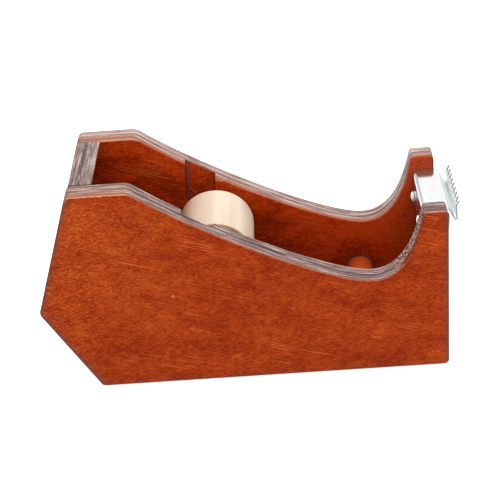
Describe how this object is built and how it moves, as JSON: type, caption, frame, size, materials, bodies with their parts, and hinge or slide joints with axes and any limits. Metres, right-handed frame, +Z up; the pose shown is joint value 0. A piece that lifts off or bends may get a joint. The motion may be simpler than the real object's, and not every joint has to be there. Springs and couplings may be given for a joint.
{
  "type": "tape dispenser",
  "caption": "Desk tape dispenser: a stained plywood cradle holds a lift-out roller for a tape roll, and a toothed steel cutter stands at its front end.",
  "frame": {"origin": "under the middle of the whole object, on the surface that the pads stand on", "axes": "+X from the heel towards the cutter, +Z up, +Y across the object towards the far side"},
  "size_m": [0.1355, 0.0464, 0.0714],
  "materials": {
    "stained_plywood": "orange-brown stain under satin lacquer",
    "stained_dowel": "orange-brown stain under satin lacquer",
    "bare_dowel": "bare",
    "roller_wood": "fine sanded, clear lacquer",
    "cutter_steel": "bright plated sheet",
    "screw_steel": "zinc plated",
    "axle_steel": "bright drawn rod",
    "collar_nylon": "natural nylon",
    "pad_rubber": "matt"
  },
  "bodies": {
    "frame": {"near_side_panel": "stained_plywood", "far_side_panel": "stained_plywood", "rear_panel": "stained_plywood", "lower_rear_panel": "stained_plywood", "floor_panel": "stained_plywood", "front_panel": "stained_plywood", "rear_panel_pins": "bare_dowel", "lower_rear_panel_pins": "bare_dowel", "floor_panel_pins": "bare_dowel", "front_panel_pins": "bare_dowel", "spacer_dowel": "stained_dowel", "cutter_bracket": "cutter_steel", "cutter_screws": "screw_steel", "rear_near_pad": "pad_rubber", "rear_far_pad": "pad_rubber", "front_near_pad": "pad_rubber", "front_far_pad": "pad_rubber"},
    "axle": {"roller_axle": "axle_steel", "near_axle_collar": "collar_nylon", "far_axle_collar": "collar_nylon"},
    "roller": {"tape_roller": "roller_wood"}
  },
  "joints": [
    {"name": "axle_lift", "type": "slide", "parent": "frame", "child": "axle", "axis": [-0.225, 0, 0.9744], "range_m": [0, 0.06]},
    {"name": "roller_spin", "type": "hinge", "parent": "axle", "child": "roller", "pos_m": [-0.0106, 0, 0.0399], "axis": [0, 1, 0], "continuous": true}
  ]
}
